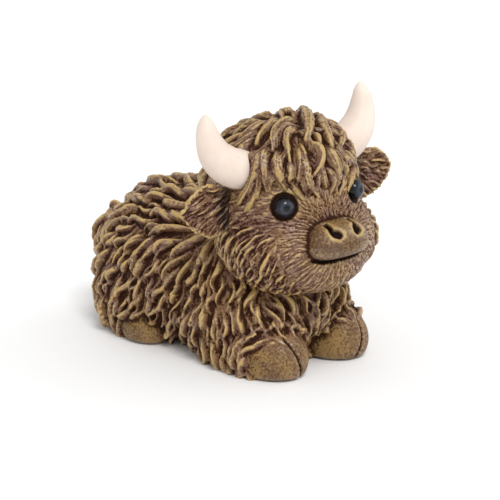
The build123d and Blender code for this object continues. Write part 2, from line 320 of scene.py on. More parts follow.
def run_tree(piece, tree, **sizes):
    """Runs a node tree on a piece with its named inputs and keeps the result as a plain mesh."""
    nodes = piece.modifiers.new(tree.name, "NODES")
    nodes.node_group = tree
    for item in tree.interface.items_tree:
        key = item.name.lower().replace(" ", "_")
        if item.in_out == "INPUT" and key in sizes:
            nodes[item.identifier] = sizes[key]
    settle(piece)


def grow(piece, name, locks, flatness, seed, grain):
    """Makes locks of hair along their lines and casts them in one with the piece."""
    tufts = lock_paths(name, locks)
    run_tree(tufts, lock_tree_made, flatness=flatness, seed=float(seed), material=hair_paint)
    shape = bmesh.new()
    shape.from_mesh(piece.data)
    shape.from_mesh(tufts.data)
    shape.to_mesh(piece.data)
    shape.free()
    mesh = tufts.data
    bpy.data.objects.remove(tufts)
    bpy.data.meshes.remove(mesh)
    cast(piece, grain, 1)


def strand_lines(mesh, locks, spacing):
    """Each vertex's place on its nearest lock: across it, along it, and a number that differs by lock."""
    samples = [
        (Vector(point), index, step, (Vector(after[0]) - Vector(point)).normalized(), Vector(out))
        for index, lock in enumerate(locks)
        for step, ((point, out, girth), after) in enumerate(zip(lock, lock[1:]))
    ]
    near = KDTree(len(samples))
    for i, sample in enumerate(samples):
        near.insert(sample[0], i)
    near.balance()
    lines = np.empty((len(mesh.vertices), 3), np.float32)
    for vertex in mesh.vertices:
        place = vertex.co / MM
        centre, i, distance = near.find(place)
        point, index, step, run, out = samples[i]
        offset = place - centre
        across = offset.dot(run.cross(out)) / spacing
        along = (step + offset.dot(run)) * strand_stretch
        lines[vertex.index] = (across, along, index * strand_shift)
    return lines


def rounded(points, edges, rounds):
    """Vertex coordinates after each has moved to the middle of its neighbours a number of times."""
    count = len(points)
    first, second = edges.T
    shared = np.bincount(edges.ravel(), minlength=count)[:, None]
    for _ in range(rounds):
        sums = np.stack([
            np.bincount(first, points[second, axis], count)
            + np.bincount(second, points[first, axis], count)
            for axis in range(3)
        ], -1)
        points = 0.5 * points + 0.5 * sums / np.maximum(shared, 1)
    return points


def find_ridges(mesh, fine=8, broad=60):
    """Stores how far each vertex stands proud: a dry brush touches it there and paint washes off, and sunk
    places get painted shade.
    """
    points, normals = column(mesh, "co"), column(mesh, "normal")
    edges = np.empty(len(mesh.edges) * 2, np.int32)
    mesh.edges.foreach_get("vertices", edges)
    edges = edges.reshape(-1, 2)
    near = rounded(points, edges, fine)
    wide = rounded(near, edges, broad)
    small = ((points - near) * normals).sum(-1)
    large = ((points - wide) * normals).sum(-1)
    nearby = np.sqrt(rounded((small**2)[:, None].repeat(3, 1), edges, broad)[:, 0])
    ridge = 0.55 * small / (nearby + 0.3 * small.std()) + 0.7 * large / large.std()
    store(mesh, "ridge", ridge)


def groove_tree():
    """Node tree that engraves fine hair: it sinks the skin along noise stretched on the strand lines."""
    tree, given, made = new_tree("hair_grooves", {"Skin": "Geometry", "Depth": 0.3 * MM}, "Skin")
    strand = add(tree, "GeometryNodeInputNamedAttribute", {"Name": "strand"}, data_type="FLOAT_VECTOR")
    lines = add(tree, "ShaderNodeTexNoise", {"Scale": 1.0, "Detail": 1.0, "Distortion": 0.3})
    steps = {"From Min": 0.38, "From Max": 0.62, "To Min": -1.0, "To Max": 0.35}
    steep = add(tree, "ShaderNodeMapRange", steps, interpolation_type="SMOOTHSTEP")
    wire(strand, "Attribute", lines, "Vector")
    wire(lines, "Fac", steep, "Value")
    bare = add(tree, "GeometryNodeInputNamedAttribute", {"Name": "bare"})
    hairy = add(tree, "ShaderNodeMath", {0: 1.0}, operation="SUBTRACT")
    kept = add(tree, "ShaderNodeMath", operation="MULTIPLY")
    wire(bare, "Attribute", hairy, 1)
    wire(steep, "Result", kept, 0)
    wire(hairy, "Value", kept, 1)
    amount = add(tree, "ShaderNodeMath", operation="MULTIPLY")
    wire(kept, "Value", amount, 0)
    wire(given, "Depth", amount, 1)
    normal = add(tree, "GeometryNodeInputNormal")
    offset = add(tree, "ShaderNodeVectorMath", operation="SCALE")
    moved = add(tree, "GeometryNodeSetPosition")
    wire(normal, "Normal", offset, 0)
    wire(amount, "Value", offset, "Scale")
    wire(given, "Skin", moved, "Geometry")
    wire(offset, "Vector", moved, "Offset")
    wire(moved, "Geometry", made, "Skin")
    return tree


def thin(piece, most=190000):
    """Fewer triangles where the skin is flat, so that the piece's file isn't thinned later."""
    count = sum(len(polygon.vertices) - 2 for polygon in piece.data.polygons)
    if count > most:
        piece.modifiers.new("thin", "DECIMATE").ratio = most / count
        settle(piece)
        piece.data.validate()


def srgb(*levels):
    """A colour written as on a paint chart, red, green and blue from 0 to 255, for a shader."""
    return (*(((v / 255 + 0.055) / 1.055) ** 2.4 if v > 10 else v / 255 / 12.92 for v in levels), 1)


def new_paint(name):
    """A new material, its node tree and its shader."""
    paint = bpy.data.materials.new(name)
    paint.use_nodes = True
    return paint, paint.node_tree, paint.node_tree.nodes["Principled BSDF"]


umber = srgb(124, 92, 60)
purple_brown = srgb(110, 78, 64)
bare_brown = srgb(102, 74, 50)
bare_tan = srgb(142, 112, 66)
dusty_tan = srgb(154, 124, 90)
old_gold = srgb(190, 157, 92)
# The two dark colours are washes of paint that also serve as painted shade in grooves and hollows.
dark_wash_and_shade = srgb(50, 25, 14)
deep_wash_and_shade = srgb(24, 11, 7)


def painted_hair(name):
    """Resin painted umber and purple brown, washed dark and darkened with painted shade in the grooves, with
    a dry brush of old gold.
    """
    material, tree, shader = new_paint(name)
    join = tree.links.new

    def stored(key, output="Fac"):
        """What is stored on the mesh under a name."""
        return add(tree, "ShaderNodeAttribute", attribute_name=key).outputs[output]

    def noise(source, scale, detail, distortion=0.0):
        """Noise read over the piece or along the strand lines."""
        node = add(tree, "ShaderNodeTexNoise", {"Scale": scale, "Detail": detail, "Distortion": distortion})
        join(source, node.inputs["Vector"])
        return node.outputs["Fac"]

    def level(fac, low, high, start=0.0, end=1.0):
        """A smooth step of a value between two levels."""
        steps = {"From Min": low, "From Max": high, "To Min": start, "To Max": end}
        node = add(tree, "ShaderNodeMapRange", steps, interpolation_type="SMOOTHSTEP")
        join(fac, node.inputs["Value"])
        return node.outputs["Result"]

    def sums(first, second, share):
        """The first value plus a share of the second."""
        node = add(tree, "ShaderNodeMath", {1: share}, operation="MULTIPLY_ADD")
        join(second, node.inputs[0])
        join(first, node.inputs[2])
        return node.outputs["Value"]

    def over(fac, under, colour):
        """A coat of paint over what is under it."""
        node = add(tree, "ShaderNodeMix", data_type="RGBA")
        join(fac, node.inputs["Factor"])
        for value, index in ((under, 6), (colour, 7)):
            if isinstance(value, tuple):
                node.inputs[index].default_value = value
            else:
                join(value, node.inputs[index])
        return node.outputs[2]

    bare = stored("bare")
    place = add(tree, "ShaderNodeTexCoord").outputs["Object"]
    hairs = noise(stored("strand", "Vector"), 1.6, 2.0, 0.4)
    fleck = noise(place, 1500.0, 4.0)
    cloud = noise(place, 110.0, 3.0)
    brush_and_shade = sums(sums(sums(stored("ridge"), hairs, 1.5), fleck, 3.0), bare, -0.6)
    base = over(level(cloud, 0.38, 0.62), umber, purple_brown)
    blotched = over(level(sums(cloud, fleck, 0.7), 0.72, 1.02), bare_brown, bare_tan)
    base = over(bare, base, blotched)
    pale = over(level(brush_and_shade, 2.4, 3.5, 0, 0.6), base, dusty_tan)
    gilt = over(level(brush_and_shade, 3.0, 4.1, 0, 0.9), pale, old_gold)
    # Washed dark in the grooves and darkened further there as painted shade.
    dark = over(level(brush_and_shade, 2.2, 0.95, 0, 0.97), gilt, dark_wash_and_shade)
    # Deeper washes on top: the eyes' painted rims, a darker muzzle and forelock, and painted shade in the
    # nostrils, the mouth, the muzzle seam, the leg clefts and round the ears' roots.
    join(over(stored("wash_and_shade"), dark, deep_wash_and_shade), shader.inputs["Base Color"])
    join(level(brush_and_shade, 1.5, 3.3, 0.6, 0.36), shader.inputs["Roughness"])
    join(level(brush_and_shade, 1.5, 3.1, 0.08, 0.5), shader.inputs["Specular IOR Level"])
    join(level(brush_and_shade, 2.1, 3.5, 0, 0.35), shader.inputs["Coat Weight"])
    shader.inputs["Coat Roughness"].default_value = 0.3
    bump = add(tree, "ShaderNodeBump", {"Strength": 0.6, "Distance": 0.12 * MM})
    join(sums(fleck, hairs, 1.0), bump.inputs["Height"])
    wire(bump, "Normal", shader, "Normal")
    return material


def finish_hair(piece, lines, depth, bare=0.0, wash_and_shade=0.0):
    """Engraves a cast piece's strand lines, but not where it is bare, and paints it, dark under washes and
    painted shade.
    """
    store(piece.data, "strand", lines)
    for name, values in (("bare", bare), ("wash_and_shade", wash_and_shade)):
        store(piece.data, name, np.broadcast_to(values, len(lines)))
    run_tree(piece, groove_tree_made, depth=depth * MM)
    find_ridges(piece.data)
    thin(piece)
    piece.data.materials.clear()
    piece.data.materials.append(hair_paint)
    piece.data.shade_smooth()


def coat_way(point, out):
    """Which way the coat is combed at a place on the torso."""
    x, y, z = point
    top = ease(0.3, 0.95, out.z)
    rear = 0.42 + 2.2 * top
    rear -= 0.55 * ease(0, -16, y) * (1 - top)
    rear -= 0.9 * ease(22, 34, y) * ease(17, 8, z)
    inward = -0.5 * math.copysign(1, x) * ease(-14, -26, y) * ease(9, 16, z)
    return Vector((inward, rear, -1))


def path_share(points, path, widths, edge=0.5):
    """Whether each point lies within a path's changing half width: 1 inside, 0 outside, with a soft edge."""
    best = np.zeros(len(points))
    for a, b, wide_a, wide_b in zip(path, path[1:], widths, widths[1:]):
        a, b = np.array(a, float), np.array(b, float)
        along = np.clip(((points - a) @ (b - a)) / ((b - a) ** 2).sum(), 0, 1)
        distance = np.linalg.norm(points - a - along[:, None] * (b - a), axis=1)
        share = np.clip((wide_a + (wide_b - wide_a) * along - distance) / edge + 0.5, 0, 1)
        best = np.maximum(best, share)
    return best * best * (3 - 2 * best)


def hoof_share(point):
    """How far a place on the torso lies on a hoof, from 0 to 1."""
    x, y, z = abs(point[0]), point[1], point[2]
    fore = ease(-25.5, -27.5, y + 0.012 * (x - 12) ** 2) * ease(12.5, 10.5, z + 0.02 * (x - 12.3) ** 2)
    hind = ease(18.6, 20.4, x) * ease(8.5, 10.5, y) * ease(27.5, 25, y) * ease(10.4, 8.6, z)
    return max(fore, hind)


def spread_roots(piece, way, allowed, tries, seed, size):
    """Roots of locks over a skin, a lock's pitch apart; the size is a number or goes by place."""
    throws = np.random.default_rng(seed)
    mesh = piece.data
    mesh.calc_loop_triangles()
    corners = np.array([[mesh.vertices[i].co for i in t.vertices] for t in mesh.loop_triangles]) / MM
    cross = np.cross(corners[:, 1] - corners[:, 0], corners[:, 2] - corners[:, 0])
    area = np.linalg.norm(cross, axis=1)
    picks = throws.choice(len(corners), tries, p=area / area.sum())
    shares = throws.random((tries, 2))
    shares[shares.sum(1) > 1] = 1 - shares[shares.sum(1) > 1]
    places = (
        corners[picks, 0]
        + shares[:, :1] * (corners[picks, 1] - corners[picks, 0])
        + shares[:, 1:] * (corners[picks, 2] - corners[picks, 0])
    )
    roots = []
    kept = np.empty((0, 3))
    for place, facing in zip(places, cross[picks] / area[picks, None]):
        out = Vector(facing)
        if not allowed(Vector(place), out):
            continue
        run = combed(way, Vector(place), out)
        offset = kept - place
        scale = size(place) if callable(size) else size
        along = offset @ np.array(run) / (coat_along * scale)
        across = offset @ np.array(run.cross(out)) / (coat_across * scale)
        through = offset @ facing / coat_along
        if len(kept) == 0 or (along**2 + across**2 + through**2).min() > 1:
            kept = np.vstack([kept, place])
            roots.append(Vector(place))
    return roots


head_pivot = Vector((0, -15.0, 45.0))
head_turn = math.radians(-9.7)
head_lean = math.radians(-3.4)
head_place = (
    Matrix.Translation(head_pivot) @ Matrix.Rotation(head_turn, 4, "Z") @ Matrix.Rotation(head_lean, 4, "Y")
)
head_heart = (0, -8.0, 0)
head_lobes = [
    ((0, -4.0, 4.0), (22.5, 23.0, 23.0)),
    ((0, -12.0, -6.6), (23.4, 20.2, 14.8)),
    ((0, -22.5, -11.0), (11.5, 9.0, 7.5)),
]


def on_side(side, place):
    """A place given for the left, on a side: -1 is the right and 1 the left."""
    return (side * place[0], *place[1:])


torso_forms = [soft_form(torso_heart, torso_stretch, torso_lobes, 160, 110, floor_cut)]
for middle, half, sides, rings in (
    (foreleg_centre, foreleg_half, 72, 40),
    (hind_foot_centre, hind_foot_half, 60, 30),
):
    for side in (-1, 1):
        centre = on_side(side, middle)
        torso_forms.append(soft_form(centre, half, [(centre, half)], sides, rings, floor_cut))
torso = new_piece("torso_casting", torso_forms)
cast(torso, 0.6, 10)
torso_skin = surface_of(torso)


def head_clearance(point):
    """Distance of a place from the head's form, less than zero inside it."""
    local = np.array(head_place.inverted() @ Vector(point)) - head_heart
    far = np.linalg.norm(local)
    return far - soft_reach(head_heart, (local / far)[None], head_lobes)[0]


def coat_allowed(point, out):
    """Whether a coat lock may grow here: not on a hoof, not under the belly and not below the head."""
    return point.z > 2.5 and out.z > -0.75 and hoof_share(point) < 0.3 and head_clearance(point) > -0.5


def coat_size(point):
    """Size of the locks by place: long on the back, finer on the chest and the legs."""
    return 1.0 + 0.25 * ease(30, 42, point[2]) - 0.15 * ease(-12, -24, point[1])


def clear_of_hooves(lock):
    """A lock cut short where its end would lie on a hoof."""
    while len(lock) > 4 and hoof_share(lock[-3][0]) > 0.5:
        lock.pop()
    return lock


def set_down(piece):
    """Sets what has sunk below the floor back on it, and gives the piece's points."""
    points = column(piece.data, "co")
    points[:, 2] = np.maximum(points[:, 2], 0)
    put_back(piece.data, points)
    return points


dice = random.Random(coat_seed)
coat = []
for root in spread_roots(torso, coat_way, coat_allowed, 9000, coat_seed, coat_size):
    size = coat_size(root) * dice.uniform(0.85, 1.15)
    length = dice.uniform(*coat_lengths) * size
    girth = dice.uniform(*coat_girths) * size
    sway = dice.uniform(-0.7, 0.7)
    coat.append(clear_of_hooves(laid_lock(torso_skin, root, coat_way, length, girth, sway, coat_lift)))
    if dice.random() < stray_share:
        aside = root + Vector((0, 0, dice.uniform(-0.8, 0.8) * size))
        sway = dice.uniform(-0.5, 0.5)
        stray = laid_lock(torso_skin, aside, coat_way, 12.0 * size, 0.7 * size, sway, stray_lift)
        coat.append(clear_of_hooves(stray))
lock_tree_made = lock_tree()
groove_tree_made = groove_tree()
hair_paint = painted_hair("painted_hair")
grow(torso, "coat_locks", coat, flatness=0.45, seed=coat_seed, grain=0.42)
points = set_down(torso)
coat_lines = strand_lines(torso.data, coat, 0.9)
hooves = np.array([hoof_share(point) for point in points])
clefts = np.zeros(len(points))
for side in (-1, 1):
    line = []
    centre = np.array(on_side(side, foreleg_centre))
    for rise in range(-24, 61, 12):
        lean = math.radians(side * 18 * math.sin(math.radians(rise)))
        ray = np.array((math.sin(lean), -math.cos(math.radians(rise)), math.sin(math.radians(rise))))
        ray /= np.linalg.norm(ray)
        line.append(centre + ray * reach(centre, ray[None], (centre, foreleg_half))[0])
    clefts += path_share(points, line, [0.25] * len(line), 0.9)
put_back(torso.data, points - column(torso.data, "normal") * clefts[:, None] * cleft_depth)
# The clefts are darkened with painted shade as well as sunk.
finish_hair(torso, coat_lines, 0.26, hooves, np.clip(clefts * 0.5, 0, 1))
set_down(torso)
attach(torso, "root")
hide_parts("torso")

# Tail
# A short tuft cast apart and glued in a groove down the rump, a little to the right of the middle.
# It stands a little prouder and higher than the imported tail, as its bump in the photograph does.
tail_proud = 0.7
tail_rise = 1.6
tail_seed = 3
tail_lift = (-0.7, 0.1, 0.45, 0.55, 0.2)


def cad_copy(name, node):
    """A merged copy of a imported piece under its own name."""
    copy = in_scene(name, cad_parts[node].data.copy())
    copy.data.materials.clear()
    shape = bmesh.new()
    shape.from_mesh(copy.data)
    bmesh.ops.remove_doubles(shape, verts=shape.verts, dist=0.002 * MM)
    shape.to_mesh(copy.data)
    shape.free()
    return copy


def tail_way(point, out):
    """The tail's hair falls straight down and a little outwards."""
    return Vector((0.1, 0.25, -1))


def tail_allowed(point, out):
    """Whether the tail's locks may grow here: where it stands clear of the coat."""
    return point.z > 18 and point.y > 42


tail = cad_copy("tail_casting", "tail")
cast(tail, 0.5, 8)
proud = column(tail.data, "normal") * tail_proud
put_back(tail.data, column(tail.data, "co") + proud + (0, 0, tail_rise))
tail_skin = surface_of(tail)
tail_locks = [
    laid_lock(tail_skin, root, tail_way, 8.0, 1.35, dice.uniform(-0.4, 0.4), tail_lift)
    for root in spread_roots(tail, tail_way, tail_allowed, 500, tail_seed, 0.72)
]
grow(tail, "tail_locks", tail_locks, flatness=0.7, seed=tail_seed, grain=0.36)
finish_hair(tail, strand_lines(tail.data, tail_locks, 0.9), 0.16)
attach(tail, "root")
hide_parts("tail")

# Head
# One casting with a broad muzzle, leaned and turned a little to the right on the neck. Fine hair is
# engraved outwards from the muzzle and ends in loose tufts on the cheeks. The nostrils, the mouth and the
# eyes' sockets are sunk into it.
muzzle_centre = (0, -26.9, -2.2)
muzzle_half = (9.5, 10.2, 5.3)
muzzle_power = 3
muzzle_narrowing = 0.17
eye_centre = (12.2, -22.7, 8.0)
eye_radius = 3.1
nostril_path = ((3.5, 2.9), (4.3, 2.2), (4.2, 1.3), (3.2, 1.0))
nostril_widths = (0.25, 0.5, 1.0, 1.15)
mouth_half_width = 10.6
mouth_centre = (-27.0, -5.7)
mouth_depth = 5.6
mouth_sag = 2.4
lip_dip = 0.5
seam_depth = 0.3
nostril_depth = 1.5
corner_depth = 1.2
rim_depth = 0.7
strands_round = 29.0
strand_length = 2.6
cheek_seed = 21
cheek_lift = (-0.7, -0.2, 0.1, 0.3, 0.2)


def muzzle_far(ways):
    """Distance from the muzzle's middle to its skin: a rounded block that narrows towards the top."""
    far = np.full(ways.shape[:-1], muzzle_half[2])
    for _ in range(30):
        wide = muzzle_half[0] * (1 - muzzle_narrowing * np.clip(far * ways[..., 2] / muzzle_half[2], -1, 1))
        total = np.abs(ways[..., 0] / wide) ** muzzle_power
        total += (np.abs(ways[..., 1:] / muzzle_half[1:]) ** muzzle_power).sum(-1)
        far = total ** (-1 / muzzle_power)
    return far


def head_local(points):
    """World places in millimetres as places in the head's own frame."""
    turn = np.array(head_place)
    return (points - turn[:3, 3]) @ turn[:3, :3]


def head_way(point, out):
    """The head's hair grows away from the muzzle and sinks towards the jaw and the neck."""
    local = head_place.inverted() @ Vector(point)
    run = (local - Vector(muzzle_centre)).normalized()
    run.z -= 0.2 + 1.1 * ease(4, -8, local.z) + 0.8 * ease(-14, 0, local.y)
    return head_place.to_3x3() @ run


def cheek_allowed(point, out):
    """Whether a loose tuft grows here: round the cheeks, the jaw and the nape."""
    local = head_place.inverted() @ Vector(point)
    from_muzzle = (local - Vector(muzzle_centre)).length
    from_eye = (Vector((abs(local.x), local.y, local.z)) - Vector(eye_centre)).length
    low = local.z < 3.5 - 0.35 * max(0, -14 - local.y) + 8 * ease(-7, -1, local.y)
    return low and from_muzzle > 17 and from_eye > 8 and local.z > -17.5


def lay_locks(skin, roots, way, length, girth, sizes, sway, lift):
    """A lock at each root, with a size and a sway of its own."""
    locks = []
    for root in roots:
        size = dice.uniform(*sizes)
        bent = dice.uniform(-sway, sway)
        locks.append(laid_lock(skin, root, way, length * size, girth * size, bent, lift))
    return locks


def from_eyes(local):
    """Distances of places in the head's frame from the middle of the nearer eye."""
    return np.linalg.norm(np.stack([np.abs(local[:, 0]), local[:, 1], local[:, 2]], -1) - eye_centre, axis=1)


head = new_piece("head_casting", [
    soft_form(head_heart, (24.0, 24.0, 23.0), head_lobes, 150, 90),
    star_skin(muzzle_centre, muzzle_half, muzzle_far, 90, 50),
], head_place)
cast(head, 0.45, 3)
head_skin = surface_of(head)
cheek_roots = spread_roots(head, head_way, cheek_allowed, 6000, cheek_seed, 0.62)
cheek_locks = lay_locks(head_skin, cheek_roots, head_way, 6.5, 0.85, (0.85, 1.3), 0.4, cheek_lift)
grow(head, "cheek_locks", cheek_locks, flatness=0.62, seed=cheek_seed, grain=0.34)
points, normals = column(head.data, "co"), column(head.data, "normal")
local = head_local(points)
from_heart = local - head_heart
far = np.linalg.norm(from_heart, axis=1)
past_head = far - soft_reach(head_heart, from_heart / far[:, None], head_lobes)
from_muzzle = local - muzzle_centre
span = np.linalg.norm(from_muzzle, axis=1)
past_muzzle = span - muzzle_far(from_muzzle / span[:, None])
on_muzzle = np.clip((past_head - past_muzzle) / 1.2 + 0.3, 0, 1) * (local[:, 1] < -24)
seam = np.clip(1 - np.maximum(np.abs(past_head), np.abs(past_muzzle)) / 0.7, 0, 1) * (local[:, 1] < -22)
flat = np.stack([np.abs(local[:, 0]), local[:, 2]], -1)
nostrils = path_share(flat, nostril_path, nostril_widths) * (local[:, 1] < -30)
mouth = []
for turn in np.radians(np.linspace(-86, 86, 15)):
    front = math.cos(turn)
    mouth.append((
        mouth_half_width * math.sin(turn),
        mouth_centre[0] - mouth_depth * front,
        mouth_centre[1] - mouth_sag * front + lip_dip * front**12,
    ))
lips = path_share(local, mouth, [0.6] * len(mouth)) * (local[:, 1] < -24)
mouth_ends = sum(path_share(local, [mouth[i], mouth[j]], (1.2, 0.8)) for i, j in ((0, 1), (-1, -2)))
rims = np.clip(1.3 - np.abs(from_eyes(local) - eye_radius - 0.4) / 0.6, 0, 1)
sunk = seam_depth * seam + nostril_depth * nostrils + lips + corner_depth * mouth_ends + rim_depth * rims
put_back(head.data, points - normals * sunk[:, None])
across, up = from_muzzle[:, 0], from_muzzle[:, 2]
ring = strands_round / np.maximum(np.hypot(across, up), 1)
bend = 0.3 * np.sin(span * 0.9 + up * 0.5) + 0.016 * span**2
radial = np.stack([across * ring, up * ring + bend, span / strand_length], -1)
tufted = np.array([cheek_allowed(point, None) for point in points])
face_lines = np.where(tufted[:, None], strand_lines(head.data, cheek_locks, 0.9), radial)
bare = np.clip(np.maximum(on_muzzle, rims * 1.5), 0, 1)
# Painted shade darkens the muzzle seam, the nostrils, the mouth and its corners; the darker muzzle and the
# eyes' rims are paint.
wash_and_shade = np.clip(0.15 * seam + 0.15 * on_muzzle + nostrils * 0.9 + lips + mouth_ends + rims * 0.75, 0, 1)
finish_hair(head, face_lines, 0.22, bare, wash_and_shade)
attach(head, "root")
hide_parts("head")

# Forelock
# A cap of thick round locks that fall from a whorl on the crown in two tiers, down to the eyes and over
# the horns' roots. The locks in front follow the photograph; those at the back and on the far side are
# combed from the same whorl. All are cast in one.
hair_centre = (0, -7.0, 8.0)
hair_half = (22.0, 20.4, 20.2)
whorl_lean = math.radians(15)
whorl_way = Vector((0, -math.sin(whorl_lean), math.cos(whorl_lean)))
hairline = math.radians(60)
hairline_behind = math.radians(98)
crown_seed = 12
crown_lift = (-0.6, 0.2, 0.6, 0.5, 0.2)
under_lift = (-0.7, 0.0, 0.3, 0.2, 0.0)
crown_spread = 48
crown_spread_behind = 38
under_spread = 52
front_taper = ((0, 0.2, 0.5, 0.75, 0.92, 1), (0.7, 1.0, 1.0, 0.82, 0.5, 0.25))
front_rise = ((0, 0.25, 0.6, 1), (0.0, 0.9, 1.0, 0.7))
front_sink = ((0, 0.2, 0.8, 1), (0.6, 0.1, 0.1, 0.2))
eye_clear = 8.5
cap_sink = 2.0

# Where the camera stood, so that a place seen in the photograph can be found on the skin of a piece.
photo_turn = math.radians(-44)
photo_rise = math.radians(16.7)
photo_focal = 1819.4
photo_side = 500
photo_across = 3.21
photo_up = 27.38
photo_away = 560.0
right_way = Vector((math.cos(photo_turn), math.sin(photo_turn), 0))
back_way = Vector((
    math.sin(photo_turn) * math.cos(photo_rise),
    -math.cos(photo_turn) * math.cos(photo_rise),
    math.sin(photo_rise),
))
up_way = back_way.cross(right_way)
eye_point = (right_way * photo_across + up_way * photo_up + back_way * photo_away) * MM

# The front locks: half width, height off the skin, and the line picked in pixels of the photograph.
front_middle_px = (300, 165)
front_locks_px = [
    (1.5, 0.3, 272, 113, 260, 112, 250, 117, 242, 126),
    (1.5, 0.9, 274, 115, 265, 115, 257, 120, 248, 129),
    (1.4, 0.3, 262, 118, 250, 120, 241, 123, 232, 131),
    (1.5, 0.5, 264, 121, 250, 126, 241, 132, 231, 140),
    (1.5, 0.8, 270, 123, 259, 128, 248, 135, 237, 143),
    (1.5, 1.0, 280, 119, 270, 127, 262, 136, 256, 146),
    (1.7, 1.4, 294, 112, 287, 111, 282, 113, 282, 120),
    (1.6, 1.1, 297, 121, 286, 124, 276, 132, 273, 142, 274, 153),
    (1.6, 0.9, 299, 127, 284, 130, 278, 138, 277, 149),
    (1.5, 1.3, 300, 130, 289, 134, 286, 142, 287, 152, 291, 167),
    (2.4, 1.5, 293, 110, 301, 115, 307, 123, 307, 132, 305, 143),
    (1.9, 1.3, 305, 112, 316, 118, 322, 130, 328, 143, 333, 154),
    (1.2, 0.9, 311, 132, 316, 138, 318, 145, 319, 151),
    (1.7, 1.0, 320, 121, 332, 126, 339, 134, 340, 142, 339, 151),
    (1.4, 0.9, 334, 123, 343, 130, 347, 135, 348, 142),
    (1.4, 0.3, 312, 112, 328, 116, 340, 121, 348, 130),
    (1.4, 0.6, 346, 129, 354, 137, 360, 149, 363, 163, 363, 182),
    (1.3, 0.6, 345, 143, 351, 149, 355, 157, 355, 168),
    (1.3, 0.7, 338, 150, 348, 158, 353, 169, 358, 182),
    (1.7, 0.5, 336, 152, 345, 160, 350, 172, 348, 193),
    (2.2, 0.5, 322, 147, 331, 159, 336, 173, 334, 192),
    (0.9, 0.4, 339, 172, 341, 184, 338, 198),
    (1.6, 1.5, 305, 143, 315, 148, 319, 157, 317, 168, 311, 178),
    (1.8, 0.5, 302, 146, 305, 165, 308, 181, 314, 191, 321, 199),
    (1.7, 0.2, 312, 146, 318, 162, 322, 176, 328, 190),
    (1.8, 0.6, 252, 143, 244, 150, 241, 161, 241, 174, 245, 189),
    (1.6, 0.8, 254, 150, 251, 162, 250, 174, 247, 190),
    (2.1, 1.1, 263, 148, 259, 158, 257, 172, 252, 186, 246, 195, 236, 207),
    (1.9, 0.6, 262, 153, 260, 173, 258, 189, 252, 201, 245, 213),
    (2.2, 0.6, 267, 146, 264, 161, 265, 177, 267, 193),
    (1.2, 1.1, 271, 157, 268, 168, 269, 180, 270, 191),
    (2.2, 0.7, 279, 150, 277, 166, 281, 179, 287, 191),
    (1.7, 0.6, 289, 160, 290, 171, 291, 180, 297, 190, 306, 202),
    (1.6, 0.2, 298, 145, 299, 161, 298, 176, 302, 190),
]


def photo_way(pixel):
    """Unit way from the camera through a pixel of the photograph."""
    across, down = pixel[0] - photo_side / 2, pixel[1] - photo_side / 2
    return (right_way * across / photo_focal - up_way * down / photo_focal - back_way).normalized()


def hair_far(ways):
    """Distance from the hair's middle: a little proud of the head above the hairline, and inside it below."""
    proud = soft_reach(hair_centre, ways, head_lobes + [(hair_centre, hair_half)])
    angle = np.arccos(np.clip(ways @ np.array(whorl_way), -1, 1))
    behind = np.clip(ways[:, 1] * 1.4 + 0.2, 0, 1)
    line = hairline + (hairline_behind - hairline) * behind
    share = np.clip((line - angle) / 0.25 + 0.5, 0, 1)
    return proud - 2.0 + 1.6 * share * share * (3 - 2 * share)


def smooth_row(row, count):
    """A row of pixel places made denser along a smooth curve through them."""
    row = [2 * row[0] - row[1], *row, 2 * row[-1] - row[-2]]
    places = []
    for k in range(count):
        at = (len(row) - 3) * k / (count - 1)
        i = min(int(at), len(row) - 4)
        t = at - i
        a, b, c, d = row[i:i + 4]
        curved = (c - a) * t + (2 * a - 5 * b + 4 * c - d) * t * t + (3 * b - a - 3 * c + d) * t**3
        places.append(0.5 * (2 * b + curved))
    return places


def seen_on(skins, pixel):
    """Where a pixel of the photograph meets the nearest skin; one past the outline is drawn in to it."""
    for draw in range(50):
        place = pixel + (np.array(front_middle_px) - pixel) * 0.015 * draw
        hits = [skin.ray_cast(eye_point, photo_way(place)) for skin in skins]
        hits = [hit for hit in hits if hit[0] is not None]
        if hits:
            return min(hits, key=lambda hit: hit[3])[:2]
    raise ValueError("no skin near the pixel")


def traced_lock(skins, row, girth, rise, count=10):
    """A lock whose line was picked in the photograph, laid on the skins it is seen against."""
    points = []
    out_before = None
    for k, pixel in enumerate(smooth_row(row, count)):
        share = k / (count - 1)
        place, out = seen_on(skins, pixel)
        out = out if out_before is None else (out * 0.4 + out_before * 0.6).normalized()
        out_before = out
        height = rise * np.interp(share, *front_rise) - girth * np.interp(share, *front_sink)
        width = girth * np.interp(share, *front_taper)
        points.append((place / MM + out * height, out.copy(), width))
    return points


def crown_way(point, out):
    """Hair of the crown grows away from the whorl and falls."""
    local = head_place.inverted() @ Vector(point)
    away = local - Vector(hair_centre) - whorl_way * hair_half[2]
    return head_place.to_3x3() @ (away.normalized() + Vector((0, 0, -0.3)))


def crown_hidden(point, out):
    """Whether the camera doesn't see this place of the crown's cap."""
    local = head_place.inverted() @ Vector(point)
    away = (local - Vector(hair_centre)).normalized()
    lowest = crown_spread + crown_spread_behind * ease(-0.1, 0.6, away.y)
    behind = out.dot((eye_point / MM - Vector(point)).normalized()) < 0.12
    return behind and away.angle(whorl_way) < math.radians(lowest)


def crown_seen(point, out):
    """Whether a thinner lock of the under layer grows here: on the visible part of the cap."""
    away = (head_place.inverted() @ Vector(point) - Vector(hair_centre)).normalized()
    return away.angle(whorl_way) < math.radians(under_spread) and not crown_hidden(point, out)


